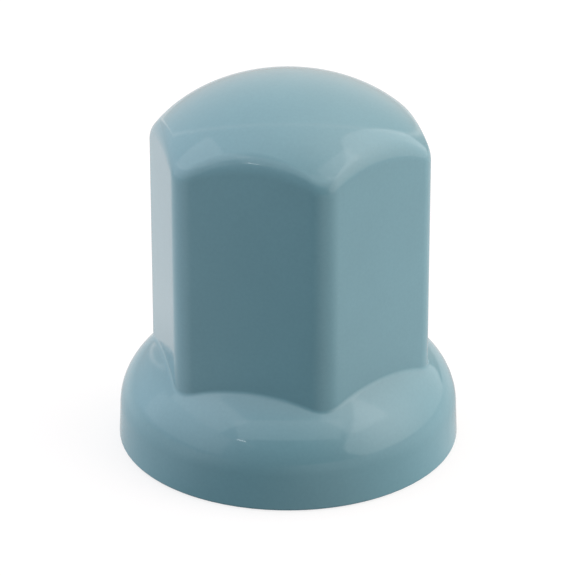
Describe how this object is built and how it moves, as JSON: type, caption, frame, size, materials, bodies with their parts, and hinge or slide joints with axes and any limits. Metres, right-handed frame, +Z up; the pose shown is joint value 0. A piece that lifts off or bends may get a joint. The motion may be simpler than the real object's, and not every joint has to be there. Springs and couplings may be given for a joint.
{
  "type": "wheel nut cap",
  "caption": "Push-on hexagonal wheel nut cap with a domed end and a bell-shaped flange, open below, with grip ribs in its socket.",
  "frame": {"origin": "centre of the rim on which the cap stands, in the rim's plane", "axes": "+Z up along the cap's axis towards the dome; two upright edges of the hexagon lie on the X axis and two flats face +Y and -Y"},
  "size_m": [0.0506, 0.0506, 0.0545],
  "materials": {
    "cap_plastic": "soft gloss, injection moulded in one pale grey-blue"
  },
  "bodies": {
    "root": {"cap": "cap_plastic"}
  },
  "joints": []
}
